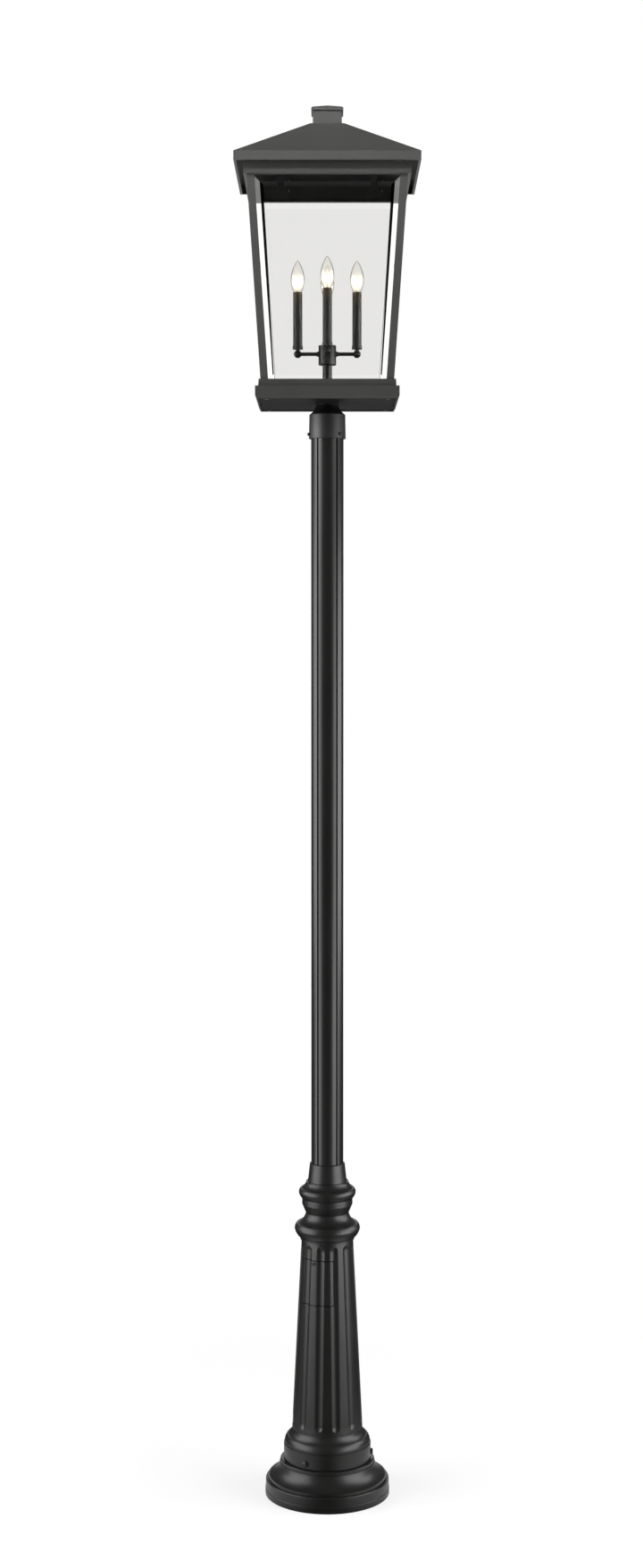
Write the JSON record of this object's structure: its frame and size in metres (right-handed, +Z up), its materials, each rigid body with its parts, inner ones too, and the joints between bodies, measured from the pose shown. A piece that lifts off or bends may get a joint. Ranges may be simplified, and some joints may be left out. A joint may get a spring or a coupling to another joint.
{
  "type": "post light",
  "caption": "Outdoor post light: a square glass lantern with candle lamps under a hinged hip roof, on a slim round post with a fluted cast foot and a removable wiring door.",
  "frame": {"origin": "on the floor under the post's axis, at the underside of the ground flange", "axes": "+Z up along the post, -Y towards the lantern's front, +X to the right seen from the front"},
  "size_m": [0.42, 0.42, 3.286],
  "materials": {
    "cast_black": "satin black powder coat on cast and extruded aluminium",
    "sheet_black": "matte black powder coat on aluminium sheet",
    "cluster_black": "matte black paint on steel tube and turned parts",
    "hinge_black": "matte black paint on steel hinge leaves",
    "black_screws": "black-finished steel screws",
    "zinc_steel": "zinc-plated steel",
    "pane_glass": "clear glass with a ground bevel",
    "lamp_glass": "clear bulb glass",
    "lamp_brass": "thin brass screw shell",
    "lamp_filament": "glass mount stem with leads and lit filament",
    "socket_plastic": "dark moulded candle socket"
  },
  "bodies": {
    "post": {"base_flange": "cast_black", "base_column": "cast_black", "column_bolts": "black_screws", "post_tube": "cast_black", "post_grub_screws": "black_screws"},
    "door": {"access_door": "cast_black", "access_door_screw": "black_screws"},
    "head": {"post_fitter": "cast_black", "fitter_set_screws": "black_screws", "fitter_bolts": "zinc_steel", "lantern_foot": "cast_black", "bottom_plate": "sheet_black", "bottom_plate_screws": "black_screws", "post_screws": "black_screws", "glass_clips": "sheet_black", "top_frame": "sheet_black", "frame_hinge_leaves": "hinge_black", "hinge_pins": "zinc_steel", "center_stem": "cluster_black", "stem_nut": "zinc_steel", "hub_cap": "cluster_black", "hub_body": "cluster_black", "candle_cups": "cluster_black", "corner_post_front_left": "sheet_black", "corner_post_front_right": "sheet_black", "corner_post_rear_right": "sheet_black", "corner_post_rear_left": "sheet_black", "glass_pane_front": "pane_glass", "lamp_arm_front": "cluster_black", "candle_sleeve_front": "cluster_black", "lamp_socket_front": "socket_plastic", "glass_pane_right": "pane_glass", "lamp_arm_right": "cluster_black", "candle_sleeve_right": "cluster_black", "lamp_socket_right": "socket_plastic", "glass_pane_rear": "pane_glass", "lamp_arm_rear": "cluster_black", "candle_sleeve_rear": "cluster_black", "lamp_socket_rear": "socket_plastic", "glass_pane_left": "pane_glass", "lamp_arm_left": "cluster_black", "candle_sleeve_left": "cluster_black", "lamp_socket_left": "socket_plastic"},
    "roof": {"roof_shell": "sheet_black", "roof_chimney": "sheet_black", "roof_cap": "sheet_black", "roof_cap_bolt": "zinc_steel", "roof_hinge_leaves": "hinge_black"},
    "lamp_front": {"lamp_base_front": "lamp_brass", "lamp_glass_front": "lamp_glass", "lamp_filament_front": "lamp_filament"},
    "lamp_right": {"lamp_base_right": "lamp_brass", "lamp_glass_right": "lamp_glass", "lamp_filament_right": "lamp_filament"},
    "lamp_rear": {"lamp_base_rear": "lamp_brass", "lamp_glass_rear": "lamp_glass", "lamp_filament_rear": "lamp_filament"},
    "lamp_left": {"lamp_base_left": "lamp_brass", "lamp_glass_left": "lamp_glass", "lamp_filament_left": "lamp_filament"}
  },
  "joints": [
    {"name": "door_removal", "type": "slide", "parent": "post", "child": "door", "axis": [-0.5, -0.866, 0], "range_m": [0, 0.06]},
    {"name": "head_swivel", "type": "hinge", "parent": "post", "child": "head", "pos_m": [0, 0, 2.569], "axis": [0, 0, 1], "continuous": true},
    {"name": "roof_hinge", "type": "hinge", "parent": "head", "child": "roof", "pos_m": [0, 0.184, 3.1248], "axis": [-1, 0, 0], "range_deg": [0, 60]},
    {"name": "lamp_front_removal", "type": "slide", "parent": "head", "child": "lamp_front", "axis": [0, 0, 1], "range_m": [0, 0.03]},
    {"name": "lamp_right_removal", "type": "slide", "parent": "head", "child": "lamp_right", "axis": [0, 0, 1], "range_m": [0, 0.03]},
    {"name": "lamp_rear_removal", "type": "slide", "parent": "head", "child": "lamp_rear", "axis": [0, 0, 1], "range_m": [0, 0.03]},
    {"name": "lamp_left_removal", "type": "slide", "parent": "head", "child": "lamp_left", "axis": [0, 0, 1], "range_m": [0, 0.03]}
  ]
}
